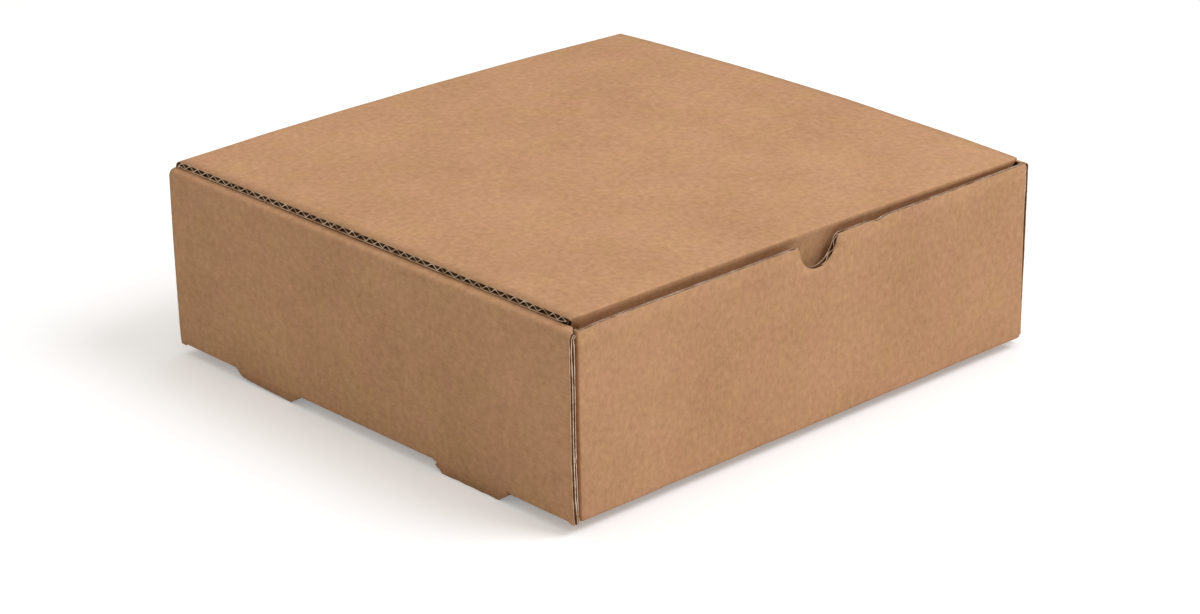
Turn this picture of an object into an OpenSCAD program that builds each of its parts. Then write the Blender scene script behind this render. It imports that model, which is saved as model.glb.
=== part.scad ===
// Literature mailer: a shallow die-cut box folded from one sheet of B-flute board.
// X runs left to right along the front, Y from the front to the back, Z up.
// The origin is the middle of the footprint, level with the ends of the tongues.

/* [Box] */
// Width across the side walls at their top
outer_w = 282; // [220:1:340]
// Depth from the face of the front panel to the face of the back panel
outer_d = 260; // [200:1:320]
// Height of the front panel above the underside of the base
panel_h = 83.9; // [65:0.1:110]
// How far each side wall leans out between its base crease and its top
wall_lean = 2.3; // [0:0.1:4]
// How far the rolled side walls stand above the front panel
roll_rise = 0.9; // [0:0.1:3]
// Outer radius of the two bends over the top of a side wall
roll_r = 5; // [4:0.1:6]

/* [Board] */
// Thickness of the corrugated board
board_t = 3; // [2.4:0.1:3.6]
// Thickness of each flat liner
liner_t = 0.35; // [0.2:0.05:0.5]
// Thickness of the wavy medium between the liners
medium_t = 0.3; // [0.2:0.05:0.4]
// Distance from one flute to the next
flute_pitch = 5.6; // [4.6:0.1:7.4]
// Gap between folded layers that lie against each other
layer_gap = 0.3; // [0.2:0.05:0.5]
// Gap across the mitred hinge crease, from each half to the mitre plane
mitre_gap = 0.15; // [0.1:0.01:0.2]

/* [Front panel] */
// Radius of the thumb notch
notch_r = 11.7; // [8:0.1:18]
// Radius of the lips where the notch meets the top edge
notch_lip_r = 2.5; // [1:0.1:5]
// Radius of the upright corners between a panel and its ears
ear_corner_r = 2.5; // [1:0.1:3]

/* [Ears] */
// Length of each ear, measured from the inside of its panel
ear_len = 70; // [40:1:90]
// Gap above and below an ear
ear_gap = 1.2; // [0.5:0.1:3]
// Size of the chamfers at the free end of an ear
ear_chamfer = 12; // [4:1:25]

/* [Tongues and locking tabs] */
// Distance of each tongue's middle from the middle of the box
tongue_y = 67; // [40:1:75]
// Length of a tongue along the base crease
tongue_len = 46; // [25:1:50]
// How far each end of a tongue slants in on its way down
tongue_slant = 5; // [0:0.5:9]
// How far the tongues reach below the underside of the base
tongue_drop = 4.5; // [2:0.1:7]
// Gap at each end of a locking tab in its slot
tab_gap = 1; // [0.5:0.1:2]
// How far the end of a locking tab stays above the underside of the base
tab_recess = 0.4; // [0:0.1:1.5]

/* [Lid] */
// How far each side of the lid stays in from the top of a side wall
lid_inset = 4; // [1:0.1:6]
// Gap between the rolled side walls and the lid
lid_gap = 0.3; // [0.2:0.05:0.6]

/* [Tuck flap] */
// Gap between the front panel and the lid's front crease
flap_gap = 1.3; // [1:0.1:2.5]
// Gap between the tuck flap and the side wall linings behind it
lining_gap = 1; // [0.6:0.1:3]
// Length of the tuck flap below the lid's front crease
flap_len = 40; // [20:1:45]
// Angle by which the flap hangs back from upright, so that it clears the front panel
flap_tilt = 4.5; // [4:0.1:8]
// Gap between the sides of the tuck flap and the ears
flap_side_gap = 0.8; // [0.5:0.1:2]
// How far each side of the flap slants in on its way down
flap_slant = 4; // [0:0.5:12]
// Radius of the flap's lower corners
flap_corner_r = 12; // [2:0.5:16]

/* [Hidden] */
$fn = 64;
arc_steps = 6;
cut_over = 1;
kraft = [0.72, 0.55, 0.40];

// Heights above the underside of the base
wall_top = panel_h + roll_rise;
lid_under = wall_top + lid_gap;

// Distances from the middle plane, from the outside in
half_w_top = outer_w / 2;
half_w = half_w_top - wall_lean;
ear_out = half_w - board_t - layer_gap;
ear_in = ear_out - board_t;
lining_out = ear_in - layer_gap;
lining_in = lining_out - board_t;

// Height of the upper edge of an ear
ear_top = wall_top - board_t - ear_gap;

// The two bends of a roll meet at the middle of a narrow wall
bend_r = min(roll_r, (half_w_top - lining_in) / 2);

// Places from front to back
half_d = outer_d / 2;
panel_in = half_d - board_t;
crease_y = -panel_in + flap_gap + board_t;
lining_front = crease_y + flap_len * sin(flap_tilt) + lining_gap;
lining_back = panel_in - layer_gap;

// The wave of the medium between the liners
wave = board_t / 2 - liner_t - medium_t / 2;
wave_angles = [40 : 40 : 320];
wave_end = 40;

// How the mitre gap shortens each half of the hinge crease, at its bend and at its foot
mitre_angle = asin(mitre_gap / board_t);
mitre_foot = sqrt(2) * mitre_gap;

function arc(c, r, from, to, steps = arc_steps) =
    [for (i = [0 : steps]) let (a = from + (to - from) * i / steps) c + r * [cos(a), sin(a)]];

// Turns a section drawn in Y and Z into a length along X
module along_x(length) {
    rotate([90, 0, 90])
        linear_extrude(height = length, center = true)
            children();
}

// Turns a section drawn in X and Z into a length along Y
module along_y(from, to) {
    translate([0, to, 0])
        rotate([90, 0, 0])
            linear_extrude(height = to - from)
                children();
}

module both_sides() {
    children();
    mirror([1, 0, 0])
        children();
}

module front_and_back() {
    children();
    mirror([0, 1, 0])
        children();
}

// Open channels of a row of flutes, between the heights 0 and board_t
module flute_channels(length) {
    count = floor(length / flute_pitch);
    start = (length - count * flute_pitch) / 2;
    crest = [for (a = wave_angles) [a / 360 * flute_pitch, board_t / 2 + wave * cos(a) + medium_t / 2]];
    roof = board_t - liner_t;
    left = wave_end / 360 * flute_pitch;
    channel = concat(crest, [[flute_pitch - left, roof], [left, roof]]);
    for (i = [0 : count - 1])
        translate([start + i * flute_pitch, 0])
            polygon(channel);
    for (i = [0 : count - 2])
        translate([start + (i + 0.5) * flute_pitch, board_t])
            mirror([0, 1])
                polygon(channel);
}

// Section of a side wall: base crease, outer board, roll over the top, lining
module side_section() {
    outer_bend = [half_w_top - bend_r, wall_top - bend_r];
    inner_bend = [lining_in + bend_r, wall_top - bend_r];
    base_bend = [half_w - board_t, board_t];
    lining_foot = board_t + layer_gap;
    polygon(concat(
        [[half_w - 2 * board_t, 0]],
        arc(base_bend, board_t, -90, 0),
        arc(outer_bend, bend_r, 0, 90),
        arc(inner_bend, bend_r, 90, 180),
        [[lining_in, lining_foot], [lining_out, lining_foot]],
        arc(inner_bend, bend_r - board_t, 180, 90),
        arc(outer_bend, bend_r - board_t, 90, 0),
        [base_bend, [half_w - 2 * board_t, board_t]]
    ));
}

// Hollow between the liners at the raw upright edges of an outer board
module edge_hollow() {
    z_low = board_t;
    z_high = wall_top - bend_r;
    polygon([
        [half_w - board_t + liner_t, z_low],
        [half_w - liner_t, z_low],
        [half_w_top - liner_t, z_high],
        [half_w_top - board_t + liner_t, z_high]
    ]);
}

// One side wall, with the roll and lining stopped short of both panels
module side_wall() {
    difference() {
        union() {
            intersection() {
                along_y(-half_d, half_d)
                    side_section();
                translate([ear_out + layer_gap, -half_d, 0])
                    cube([outer_w, outer_d, wall_top]);
            }
            along_y(lining_front, lining_back)
                side_section();
        }
        front_and_back() {
            along_y(half_d - board_t, half_d + cut_over)
                edge_hollow();
            base_slot();
        }
    }
    front_and_back()
        tongue();
    front_and_back()
        locking_tab();
}

// Tongue left standing below the outer board by the slot cut in the base
module tongue() {
    half = tongue_len / 2;
    translate([half_w - board_t / 2, tongue_y, 0])
        along_x(board_t)
            polygon([
                [-half, board_t],
                [-half, 0],
                [-half + tongue_slant, -tongue_drop],
                [half - tongue_slant, -tongue_drop],
                [half, 0],
                [half, board_t]
            ]);
}

// Tab of the lining that locks into the slot in the base
module locking_tab() {
    tab_len = tongue_len - 2 * tab_gap;
    translate([lining_in, tongue_y - tab_len / 2, tab_recess])
        cube([board_t, tab_len, 2 * board_t]);
}

module base() {
    difference() {
        translate([-half_w + board_t, -half_d + board_t, 0])
            cube([outer_w - 2 * wall_lean - 2 * board_t, outer_d - 2 * board_t, board_t]);
        both_sides()
            front_and_back()
                base_slot();
    }
}

// Slot behind a tongue, open as far in as the locking tab needs
module base_slot() {
    slot_in = lining_in - layer_gap;
    slot_h = cut_over + board_t + layer_gap / 2;
    translate([slot_in, tongue_y - tongue_len / 2, -cut_over])
        cube([half_w - board_t - slot_in, tongue_len, slot_h]);
}

// Section of a panel at +Y that rises from the base to the given height
module panel_section(height) {
    polygon(concat(
        [[half_d - 2 * board_t, 0]],
        arc([panel_in, board_t], board_t, -90, 0),
        [[half_d, height], [panel_in, height], [panel_in, board_t], [half_d - 2 * board_t, board_t]]
    ));
}

// Plan of a panel at +Y with its rounded upright corners
module panel_plan() {
    corner_y = half_d - ear_corner_r;
    corner_x = ear_out - ear_corner_r;
    polygon(concat(
        [[ear_out, half_d - 3 * board_t]],
        arc([corner_x, corner_y], ear_corner_r, 0, 90),
        arc([-corner_x, corner_y], ear_corner_r, 90, 180),
        [[-ear_out, half_d - 3 * board_t]]
    ));
}

// Ear on one end of a panel at +Y, between the outer board and the lining
module ear() {
    z_low = board_t + ear_gap;
    root = half_d - ear_corner_r;
    tip = panel_in - ear_len;
    translate([ear_in + board_t / 2, 0, 0])
        along_x(board_t)
            polygon([
                [root, z_low],
                [root, ear_top],
                [tip + ear_chamfer, ear_top],
                [tip, ear_top - ear_chamfer],
                [tip, z_low + ear_chamfer],
                [tip + ear_chamfer, z_low]
            ]);
}

// Half of a mitred crease, on the panel's side, ending at the hinge of the lid
module back_crease_section() {
    c = [panel_in, lid_under];
    polygon(concat(
        [[panel_in, panel_h - board_t], [half_d, panel_h - board_t]],
        arc(c, board_t, 0, 45 - mitre_angle),
        [[panel_in, lid_under - mitre_foot]]
    ));
}

// Half-round notch with rounded lips, drawn below the top edge of the front panel
module thumb_notch() {
    lip_x = sqrt(pow(notch_r + notch_lip_r, 2) - pow(notch_lip_r, 2));
    tangent = atan2(notch_lip_r, lip_x);
    lip_angles = [for (i = [0 : arc_steps - 1]) 90 - (90 - tangent) * i / arc_steps];
    lip = [for (a = lip_angles) [lip_x - notch_lip_r * cos(a), notch_lip_r * (sin(a) - 1)]];
    left = [for (p = lip) [-p.x, p.y]];
    right = [for (i = [arc_steps - 1 : -1 : 0]) lip[i]];
    translate([0, panel_h])
        polygon(concat(
            [[-lip_x, cut_over]],
            left,
            arc([0, 0], notch_r, 180 + tangent, 360 - tangent, 4 * arc_steps),
            right,
            [[lip_x, cut_over]]
        ));
}

module front_panel() {
    difference() {
        intersection() {
            mirror([0, 1, 0])
                along_x(2 * ear_out)
                    panel_section(panel_h);
            mirror([0, 1, 0])
                linear_extrude(height = panel_h)
                    panel_plan();
        }
        along_y(-half_d - cut_over, -panel_in + cut_over)
            thumb_notch();
    }
}

module back_panel() {
    intersection() {
        union() {
            along_x(2 * ear_out)
                panel_section(panel_h);
            along_x(2 * ear_out)
                back_crease_section();
        }
        linear_extrude(height = lid_under + board_t)
            panel_plan();
    }
}

module tray() {
    color(kraft)
        translate([0, 0, tongue_drop]) {
            base();
            front_panel();
            back_panel();
            both_sides() {
                side_wall();
                front_and_back()
                    ear();
            }
        }
}

// Section of the lid board, from its half of the hinge crease to its front crease
module lid_section() {
    front_crease = [crease_y, lid_under];
    difference() {
        polygon(concat(
            [[panel_in - mitre_foot, lid_under]],
            arc([panel_in, lid_under], board_t, 45 + mitre_angle, 90),
            arc(front_crease, board_t, 90, 135),
            [front_crease]
        ));
        translate([crease_y + board_t, lid_under])
            flute_channels(panel_in - crease_y - 2 * board_t);
    }
}

// Section of the tuck flap with the whole bend of the lid's front crease
module flap_section() {
    front_crease = [crease_y, lid_under];
    along = [sin(flap_tilt), -cos(flap_tilt)];
    outward = [-cos(flap_tilt), -sin(flap_tilt)];
    foot = front_crease + flap_len * along;
    difference() {
        polygon(concat(
            arc(front_crease, board_t, 90, 180 + flap_tilt, 2 * arc_steps),
            [foot + board_t * outward, foot, front_crease]
        ));
        translate(foot)
            rotate(90 + flap_tilt)
                flute_channels(flap_len - board_t);
    }
}

// Front view of the tuck flap: shoulders between the side walls that end just above the ears
module flap_outline() {
    shoulder_z = lid_under - board_t;
    wide = ear_out - layer_gap;
    narrow = ear_in - flap_side_gap;
    step_z = ear_top + layer_gap;
    foot_x = narrow - flap_slant - flap_corner_r;
    foot_z = lid_under - flap_len + flap_corner_r;
    polygon(concat(
        [[-wide, lid_under + board_t], [-wide, shoulder_z], [-narrow, step_z]],
        arc([-foot_x, foot_z], flap_corner_r, 180, 270),
        arc([foot_x, foot_z], flap_corner_r, 270, 360),
        [[narrow, step_z], [wide, shoulder_z], [wide, lid_under + board_t]]
    ));
}

module tuck_flap() {
    intersection() {
        along_x(2 * ear_out)
            flap_section();
        along_y(-panel_in, lining_front)
            flap_outline();
    }
}

// Lid board and tuck flap, folded from one sheet, with open flutes along X
module lid() {
    color(kraft)
        translate([0, 0, tongue_drop]) {
            along_x(outer_w - 2 * lid_inset)
                lid_section();
            tuck_flap();
        }
}

tray();
lid();
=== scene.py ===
"""Looks of the literature mailer: real fluted board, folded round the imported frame."""

import math

import bpy
import numpy as np
from mathutils import Matrix, Vector
from mathutils.geometry import delaunay_2d_cdt
from mathutils.noise import noise


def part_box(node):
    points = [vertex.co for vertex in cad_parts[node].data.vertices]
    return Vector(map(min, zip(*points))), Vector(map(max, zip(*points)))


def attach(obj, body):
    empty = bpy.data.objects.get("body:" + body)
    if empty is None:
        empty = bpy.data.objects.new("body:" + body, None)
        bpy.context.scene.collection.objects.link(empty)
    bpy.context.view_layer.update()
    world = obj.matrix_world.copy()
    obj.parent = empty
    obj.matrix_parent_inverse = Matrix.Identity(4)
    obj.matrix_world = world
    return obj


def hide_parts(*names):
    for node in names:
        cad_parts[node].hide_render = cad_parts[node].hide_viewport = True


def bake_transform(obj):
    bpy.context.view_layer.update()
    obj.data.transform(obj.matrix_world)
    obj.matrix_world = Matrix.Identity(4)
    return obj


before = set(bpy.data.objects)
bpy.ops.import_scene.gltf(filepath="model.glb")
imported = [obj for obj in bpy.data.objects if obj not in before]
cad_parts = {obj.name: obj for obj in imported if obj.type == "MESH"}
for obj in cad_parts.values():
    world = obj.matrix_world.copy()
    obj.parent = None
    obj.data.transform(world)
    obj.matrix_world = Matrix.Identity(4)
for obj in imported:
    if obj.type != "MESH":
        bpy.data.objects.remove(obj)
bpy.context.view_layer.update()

# Lengths below are millimetres, with heights above the underside of the base.
MM = 0.001
tray_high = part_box("tray")[1] / MM
lid_low, lid_high = (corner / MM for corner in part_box("lid"))

# Board
BOARD_T = 3.0
LINER_T = 0.4
MEDIUM_T = 0.5
FLUTE_PITCH = 5.6
LAYER_GAP = 0.3

# Bends: inner radius of a crease, outer radius of a rolled wall top, and how a crease crushes the board
BEND_R = 0.3
ROLL_R = 5.0
CRUSH = 0.28
CRUSH_REACH = 2.4

# How square the outer liner is over each kind of bend, where 2 is round
FOOT_SQUARENESS = 4.0
EAR_SQUARENESS = 7.0
ROLL_SQUARENESS = 3.2
CREASE_SQUARENESS = 11.0

# Cut edges: width of a cut, waver of the liners' edges, and drift of the flutes beside an edge
KERF = 0.12
CUT_WOBBLE = 0.14
CUT_SCALE = 0.9
EDGE_WANDER = 0.9
EDGE_SCALE = 0.09
EDGE_PHASE = 1.1
MOUTH_WANDER = 1.3
MOUTH_SCALE = 0.13

# Soft bumps of the sheet: height, number to a millimetre, and fade towards the foot of a side wall
UNEVEN = 0.22
UNEVEN_SCALE = 0.028
UNEVEN_FADE = 10.0

# Places in the noise, so that no two pieces or edges are uneven alike
SHEET_LAYER = 0.5
SIDE_SHIFT = 500.0
CUT_LAYERS = 7.0
CUT_SECOND = 31.0
MOUTH_LAYER = (8.1, 2.2)
EDGE_LAYER = 3.7
EDGE_LAYERS = 0.31

# Box: drop of the frame's tongues below the base, their reach here, rise of the side walls' cut ends,
# lean of the side walls, rise of their tops above the panels, and gap below the lid
TONGUE_DROP = 4.5
TONGUE_REACH = 4.35
FOOT_RISE = 0.15
WALL_LEAN = 2.3
ROLL_RISE = 0.9
LID_GAP = 0.3
half_w_top = tray_high.x
half_w = half_w_top - WALL_LEAN
half_d = tray_high.y
lid_top = lid_high.z - TONGUE_DROP
lid_under = lid_top - BOARD_T
wall_top = lid_under - LID_GAP
panel_h = wall_top - ROLL_RISE
ear_out = half_w - BOARD_T - LAYER_GAP
ear_in = ear_out - BOARD_T
lining_out = ear_in - LAYER_GAP
lining_in = lining_out - BOARD_T
panel_in = half_d - BOARD_T
lining_back = panel_in - LAYER_GAP

# Ears, tongues and locking tabs
EAR_LEN = 70.0
EAR_GAP = 1.2
EAR_CHAMFER = 12.0
TONGUE_Y = 67.0
TONGUE_HALF = 23.0
TAB_GAP = 1.0
TAB_RECESS = 0.4
TAB_SLANT = 1.0

# Ends of a rolled wall top: share of its bend where the front end's slant starts, and how far before
# its flat both ends step in to the lining
ROLL_STOP = 0.6
ROLL_STEP = 0.4

# Thumb notch
NOTCH_R = 11.7
NOTCH_LIP_R = 2.5
NOTCH_SHIFT = 1.5

# Lid and tuck flap
FLAP_LEN = 40.0
FLAP_TILT = 4.5
LINING_GAP = 1.0
FLAP_SIDE_GAP = 0.8
FLAP_SLANT = 4.0
FLAP_CORNER_R = 12.0
crease_y = lid_low.y + BOARD_T
lining_front = crease_y + FLAP_LEN * math.sin(math.radians(FLAP_TILT)) + LINING_GAP

# Lid as it lies: height of its corners, how far its edges bow up between them, and the share of the
# back panel's height where this starts
CORNER_BACK_LEFT = -0.1
CORNER_BACK_RIGHT = -0.7
CORNER_FRONT_RIGHT = -0.7
BOW_BACK = 2.0
BOW_RIGHT = 2.6
BOW_LEFT = 0.35
BOW_FRONT = 0.9
RISE_START = 0.6

# Right edge of the lid: how much shorter it is, and the share of the half width where this starts
RIGHT_SHORT = 2.0
SHORT_START = 0.6

# Front crease of the lid: how far it slides out, and over which depth and height
CREASE_SLIDE = 1.0
SLIDE_START = 0.8
SLIDE_SPAN = 0.18
SLIDE_BELOW = 2.6
SLIDE_HEIGHT = 3.5

# Tuck flap: slope of its lean at each end, and the depths where the lean starts, is full and has faded
FLAP_TUCK_LEFT = 0.3
FLAP_TUCK_RIGHT = 0.08
FLAP_TUCK_TOP = 0.4
FLAP_TUCK_START = 4.0
FLAP_TUCK_DEPTH = 9.0
FLAP_TUCK_FADE = 25.0

# Front panel as it lies: rise of its top edge, the dent in it, and its ends pushed out. The push starts
# and grows over shares of the half width, and fades on the ears
EDGE_RISE = 0.65
EDGE_SLOPE = 0.0025
EDGE_FADE = 25.0
DENT_X = 39.0
DENT_DEPTH = 1.0
DENT_REACH = 4.0
RIGHT_PUSH_FOOT = 4.3
RIGHT_PUSH_TOP = 2.2
LEFT_PUSH_TOP = 1.5
PUSH_START = 0.45
PUSH_SPAN = 0.52
EAR_FADE = 5.0

# Crushed upper left corner of the front panel
CRUMPLE_REACH = 6.0
CRUMPLE_DROP = 0.5

# Pinched top edge of the front panel
PINCH = 0.4
PINCH_REACH = 3.0

# Side walls as they lie
LEFT_LEAN_FRONT = 3.1
LEAN_BEND = 0.36
RIGHT_RECESS_FOOT = 3.0
RIGHT_RECESS_TOP = 2.0
RECESS_REACH = 20.0
NICK_HEIGHT = 28.5
NICK_REACH = 1.2
NICK_DEPTH = 1.0
NICK_FADE = 2.5
NICK_WAVE = 2.4

# Mesh fineness, and the distances below which cuts, lines and points count as one
LINER_STEP = 7.0
EDGE_STEP = 1.6
EDGE_CLEARANCE = 0.2
CLOSEST_CUTS = 0.05
CLOSEST_END = 0.02
SAME_LINE = 1e-6
MERGE = 1e-5
BEND_SHARES = (0, 0.15, 0.3, 0.4, 0.46, 0.5, 0.54, 0.6, 0.7, 0.85, 1)
BEND_MARGIN = 0.5
WAVE_SAMPLES = 12

# Medium: how deep it goes in behind a raw edge, how far it stays behind the cut, and clear of the liners
MOUTH_DEPTH = 7.0
SHORT_DEPTH = 5.0
MOUTH_INSET = 0.1
FLAP_INSET = 0.12
TONGUE_INSET = 0.3
MEDIUM_GAP = 0.02

# Where the medium shows: below the notch's lip and above its bottom, along the tongues from their middle,
# along the tabs from theirs, and below the flap's shoulder
NOTCH_MOUTH_TOP = 0.3
NOTCH_MOUTH_FOOT = 0.4
TONGUE_MOUTH = (-14.0, 15.0)
TONGUE_MOUTH_DROP = 0.5
TAB_MOUTH = 20.0
FLAP_MOUTH = 4.0
LONG_EDGE_POINTS = 12

# Distances over which the waver of a cut fades towards a crease
RAGGED_FADE = 4.0
RAGGED_EAR = 1.0
RAGGED_LID = 3.0

# Material slots of every piece: outside paper, cut inner liner (pale paper, partly a painted highlight),
# paper inside the board (darkened as painted shade), cut outer liner
FACE, PALE_CUT_AND_HIGHLIGHT, PAINTED_SHADE_INSIDE, OUTER_CUT = range(4)


class Path:
    """Inner face of a folded strip, seen along its creases. It turns left, with the board on its right."""

    def __init__(self, start, heading):
        self.segments = []
        self.point = np.array(start, float)
        self.heading = math.radians(heading)
        self.length = 0.0

    def line(self, length):
        """Adds a straight stretch, and says how long the strip is by its end."""
        self.segments.append(("line", self.length, length, self.point.copy(), self.heading, 0.0, 0.0))
        self.point = self.point + length * np.array([math.cos(self.heading), math.sin(self.heading)])
        self.length += length
        return self.length

    def bend(self, degrees, radius=BEND_R):
        """Adds a bend to the left, and says how long the strip is by its end."""
        angle = math.radians(degrees)
        length = angle * (radius + BOARD_T / 2)
        left = np.array([-math.sin(self.heading), math.cos(self.heading)])
        centre = self.point + radius * left
        self.segments.append(("bend", self.length, length, centre, self.heading, angle, radius))
        self.heading += angle
        self.point = centre + radius * np.array([math.sin(self.heading), -math.cos(self.heading)])
        self.length += length
        return self.length

    def bends(self):
        """Start and end of every bend."""
        return [(s, s + n) for kind, s, n, *_ in self.segments if kind == "bend"]

    def at(self, s):
        """Inner face point and outward normal at each distance s."""
        s = np.asarray(s, float)
        point = np.zeros((len(s), 2))
        normal = np.zeros((len(s), 2))
        last = len(self.segments) - 1
        for i, (kind, start, length, origin, heading, angle, radius) in enumerate(self.segments):
            here = (s >= start) | (i == 0)
            if i < last:
                here &= s < start + length
            along = s[here] - start
            if kind == "line":
                point[here] = origin + along[:, None] * np.array([math.cos(heading), math.sin(heading)])
                normal[here] = (math.sin(heading), -math.cos(heading))
            else:
                h = heading + angle * along / length
                normal[here] = np.stack([np.sin(h), -np.cos(h)], 1)
                point[here] = origin + radius * normal[here]
        return point, normal


def bend_lines(path, low=-1e9, high=1e9):
    """Where a mesh needs extra lines to follow the bends of a path."""
    lines = []
    for start, end in path.bends():
        lines += [start + share * (end - start) for share in BEND_SHARES]
        lines += [start - BEND_MARGIN, end + BEND_MARGIN]
    return sorted(v for v in lines if low <= v <= high)


# The main strip runs from the front panel's top edge under the base, up the back, over the lid
main = Path((-panel_in, panel_h), -90)
main_front_foot = main.line(panel_h - BOARD_T - BEND_R)
main_base = main.bend(90)
main_base_end = main.line(2 * (panel_in - BEND_R))
main_back_foot = main.bend(90)
main_hinge = main.line(lid_under - BOARD_T - 2 * BEND_R)
main_lid = main.bend(90)
main_lid_end = main.line(panel_in - BEND_R - (crease_y + BEND_R))
main_flap = main.bend(90 + FLAP_TILT)
main_end = main.line(FLAP_LEN - BEND_R)

# A side strip runs from the base out and up the side wall, over its top and down as a lining
lean = math.degrees(math.atan2(WALL_LEAN, wall_top - ROLL_R - BOARD_T))
SIDE_STUB = 5.0
side_edge = half_w - BOARD_T - BEND_R - SIDE_STUB
side = Path((side_edge, BOARD_T), 0)
side_foot = side.line(SIDE_STUB)
side_wall = side.bend(90 - lean)
side_roll = side.line((wall_top - ROLL_R - BOARD_T - BEND_R) / math.cos(math.radians(lean)))
side_flat = side.bend(90 + lean, ROLL_R - BOARD_T)
side_turn = side.line(side.point[0] - (lining_in + ROLL_R))
side_lining = side.bend(90, ROLL_R - BOARD_T)
side_end = side.line(wall_top - ROLL_R - BOARD_T - LAYER_GAP)
side_tab = side_end + BOARD_T + LAYER_GAP - TAB_RECESS
side_knee = side_wall - (BOARD_T + BEND_R)
side_low = side_knee + FOOT_RISE
side_step = side_flat - ROLL_STEP
side_stop = side_roll + ROLL_STOP * (side_flat - side_roll)

# An ear turns back from the end of a panel
ear = Path((ear_in - BEND_R, -panel_in), 0)
ear_root = ear.bend(90)
ear.line(EAR_LEN)
ear_start = ear_in - BEND_R


def base_b(y):
    """Distance along the main strip of a point on the base."""
    return main_base + y + panel_in - BEND_R


def crush(w, s, bends):
    """Inner faces pressed towards the outer liner along each crease."""
    pinch = np.ones(len(s))
    for start, end in bends:
        pinch -= CRUSH * np.exp(-(((s - (start + end) / 2) / CRUSH_REACH) ** 2))
    return BOARD_T - (BOARD_T - w) * pinch


def ease(t):
    """Smooth step from 0 to 1."""
    t = np.clip(t, 0, 1)
    return t * t * (3 - 2 * t)


def uneven(p):
    """Soft bumps of a sheet that was folded by hand."""
    return UNEVEN * np.array([noise((a * UNEVEN_SCALE, b * UNEVEN_SCALE, SHEET_LAYER)) for a, b in p])


def frontness(y):
    """0 at the back of the box and 1 at its front."""
    return np.clip((half_d - y) / (2 * half_d), 0, 1)


def rightness(x):
    """0 at the lid's left edge and 1 at its right one."""
    return np.clip((x + lid_high.x) / (2 * lid_high.x), 0, 1)


def lid_rise(x, y):
    """How far the lid stands above its flat place."""
    u = rightness(x)
    v = np.clip((y - lid_low.y) / (lid_high.y - lid_low.y), 0, 1)
    corners = (CORNER_BACK_LEFT * (1 - u) + CORNER_BACK_RIGHT * u) * v + CORNER_FRONT_RIGHT * u * (1 - v)
    bows = 4 * u * (1 - u) * (BOW_BACK * v + BOW_FRONT * (1 - v))
    bows += 4 * v * (1 - v) * (BOW_LEFT * (1 - u) + BOW_RIGHT * u)
    return corners + bows


def right_push(x, y, z):
    """How far the box's right side stands out, most at the foot of the front."""
    share = ease((x - PUSH_START * half_w) / (PUSH_SPAN * half_w)) * frontness(y)
    height = np.clip(z / panel_h, 0, 1)
    return share * (RIGHT_PUSH_FOOT + (RIGHT_PUSH_TOP - RIGHT_PUSH_FOOT) * height)


def left_push(x, y, z):
    """How far the front panel's left end stands out at its top."""
    share = ease((-x - PUSH_START * half_w) / (PUSH_SPAN * half_w)) * frontness(y)
    return -share * LEFT_PUSH_TOP * np.clip(z / panel_h, 0, 1)


def turn_ears(xyz, a, b, w, beyond):
    """Turns back what lies beyond the ends of the front and back panel: their ears."""
    turned = np.interp(b, [main_front_foot, main_base, main_base_end, main_back_foot], [1, 0, 0, 1])
    turned = np.where(b < main_hinge, turned, 0)
    point, normal = ear.at(beyond)
    bent = crush(w, beyond, ear.bends()) + square_bend(beyond, 0, ear_root, EAR_SQUARENESS) * w / BOARD_T
    shift_x = point[:, 0] + normal[:, 0] * bent - np.abs(a)
    shift_y = point[:, 1] + normal[:, 1] * bent + panel_in + w
    xyz[:, 0] += np.where(beyond > 0, np.sign(a) * turned * shift_x, 0)
    xyz[:, 1] += np.where(beyond > 0, np.where(b < base_b(0), 1, -1) * turned * shift_y, 0)


def settle_tray(xyz, a, b, beyond, place):
    """Pushed ends, uneven top edge, dent and crumpled corner of the tray."""
    x, y, z = place
    on_tray = b < main_hinge
    on_front = b < main_base
    reach = np.exp(-((beyond / EAR_FADE) ** 2))
    xyz[:, 0] += np.where(on_tray, reach * (right_push(x, y, z) + left_push(x, y, z)), 0)
    top_edge = np.clip(1 - b / EDGE_FADE, 0, 1) ** 2
    dent = DENT_DEPTH * np.exp(-(((a - DENT_X) / DENT_REACH) ** 2))
    xyz[:, 2] += np.where(on_front, top_edge * reach * (EDGE_RISE + EDGE_SLOPE * a - dent), 0)
    crumple = np.exp(-(((a + ear_start) ** 2 + b ** 2) / CRUMPLE_REACH ** 2))
    xyz[:, 2] -= np.where(on_front, CRUMPLE_DROP * crumple, 0)


def settle_lid(xyz, b, place):
    """Crown and short right edge of the lid, slide of its front crease, and lean of its tuck flap."""
    x, y, z = place
    u = rightness(x)
    height = np.clip((z - RISE_START * lid_under) / ((1 - RISE_START) * lid_under), 0, 1)
    xyz[:, 2] += np.where(b > main_back_foot, lid_rise(x, y) * height * height, 0)
    forward = ease((-SLIDE_START * half_d - y) / (SLIDE_SPAN * half_d))
    slide = forward * np.clip((z - lid_under + SLIDE_BELOW) / SLIDE_HEIGHT, 0, 1) ** 2
    xyz[:, 1] -= np.where(b > main_lid, CREASE_SLIDE * u * slide, 0)
    under = np.clip((b - main_lid_end + FLAP_TUCK_START) / FLAP_TUCK_START, 0, 1)
    under = under * np.clip(lid_top - FLAP_TUCK_TOP - z, 0, None)
    tuck = np.minimum(under, FLAP_TUCK_DEPTH) * (1 - ease((under - FLAP_TUCK_DEPTH) / FLAP_TUCK_FADE))
    slope = FLAP_TUCK_LEFT * (1 - u) + FLAP_TUCK_RIGHT * u
    xyz[:, 1] += np.where(b > main_lid, slope * tuck, 0)
    share = np.clip((b - main_hinge) / (main_lid - main_hinge), 0, 1)
    xyz[:, 0] -= RIGHT_SHORT * share * ease((x - SHORT_START * half_w) / ((1 - SHORT_START) * half_w))


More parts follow.
